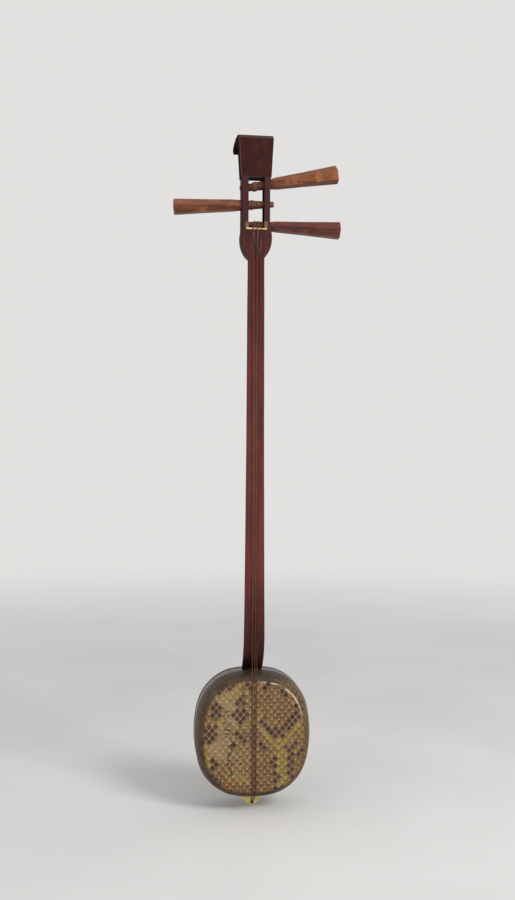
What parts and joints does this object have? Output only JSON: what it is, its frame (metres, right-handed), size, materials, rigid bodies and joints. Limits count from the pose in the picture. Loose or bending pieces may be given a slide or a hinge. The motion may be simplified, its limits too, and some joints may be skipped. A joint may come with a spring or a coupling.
{
  "type": "sanxian, three-string long-necked lute",
  "caption": "Long fretless lute with an open peg slot, lateral pegs turning in their bores, silk strings and a rounded drum with skin on both faces.",
  "frame": {"origin": "under the rounded heel, in the middle of the fingerboard plane, where the arms of a wall yoke carry the instrument", "axes": "+Z along the neck towards the head, -Y out of the fingerboard and the front skin, +X to the right as seen from the front"},
  "size_m": [0.2358, 0.0685, 0.9451],
  "materials": {
    "dark_wood": "dark red-brown hardwood, oiled and rubbed by hands, worn pale on edges",
    "black_wood": "nearly black varnished hardwood",
    "peg_wood": "orange-brown hardwood, hand cut facets with a soft sheen",
    "bone": null,
    "silk": "twisted silk, browned with age",
    "snakeskin": "dried snakeskin with dark edged scales and paler worn patches, semi-gloss"
  },
  "bodies": {
    "instrument": {"neck": "dark_wood", "head": "dark_wood", "nut": "bone", "string_thick": "silk", "string_medium": "silk", "string_thin": "silk", "string_knot": "silk", "frame_top": "black_wood", "frame_right": "black_wood", "frame_bottom": "black_wood", "frame_left": "black_wood", "front_skin": "snakeskin", "back_skin": "snakeskin", "tail_button": "bone"},
    "peg_top_turning": {"peg_top": "peg_wood", "winding_top": "silk"},
    "peg_middle_turning": {"peg_middle": "peg_wood", "winding_middle": "silk"},
    "peg_bottom_turning": {"peg_bottom": "peg_wood", "winding_bottom": "silk"}
  },
  "joints": [
    {"name": "peg_top_turn", "type": "hinge", "parent": "instrument", "child": "peg_top_turning", "pos_m": [0, 0.0105, 0.1022], "axis": [0.9833, 0, 0.1822], "continuous": true},
    {"name": "peg_middle_turn", "type": "hinge", "parent": "instrument", "child": "peg_middle_turning", "pos_m": [0, 0.0105, 0.0764], "axis": [-0.9982, 0, -0.0593], "continuous": true},
    {"name": "peg_bottom_turn", "type": "hinge", "parent": "instrument", "child": "peg_bottom_turning", "pos_m": [0, 0.0105, 0.0474], "axis": [0.9997, 0, -0.0262], "continuous": true}
  ]
}
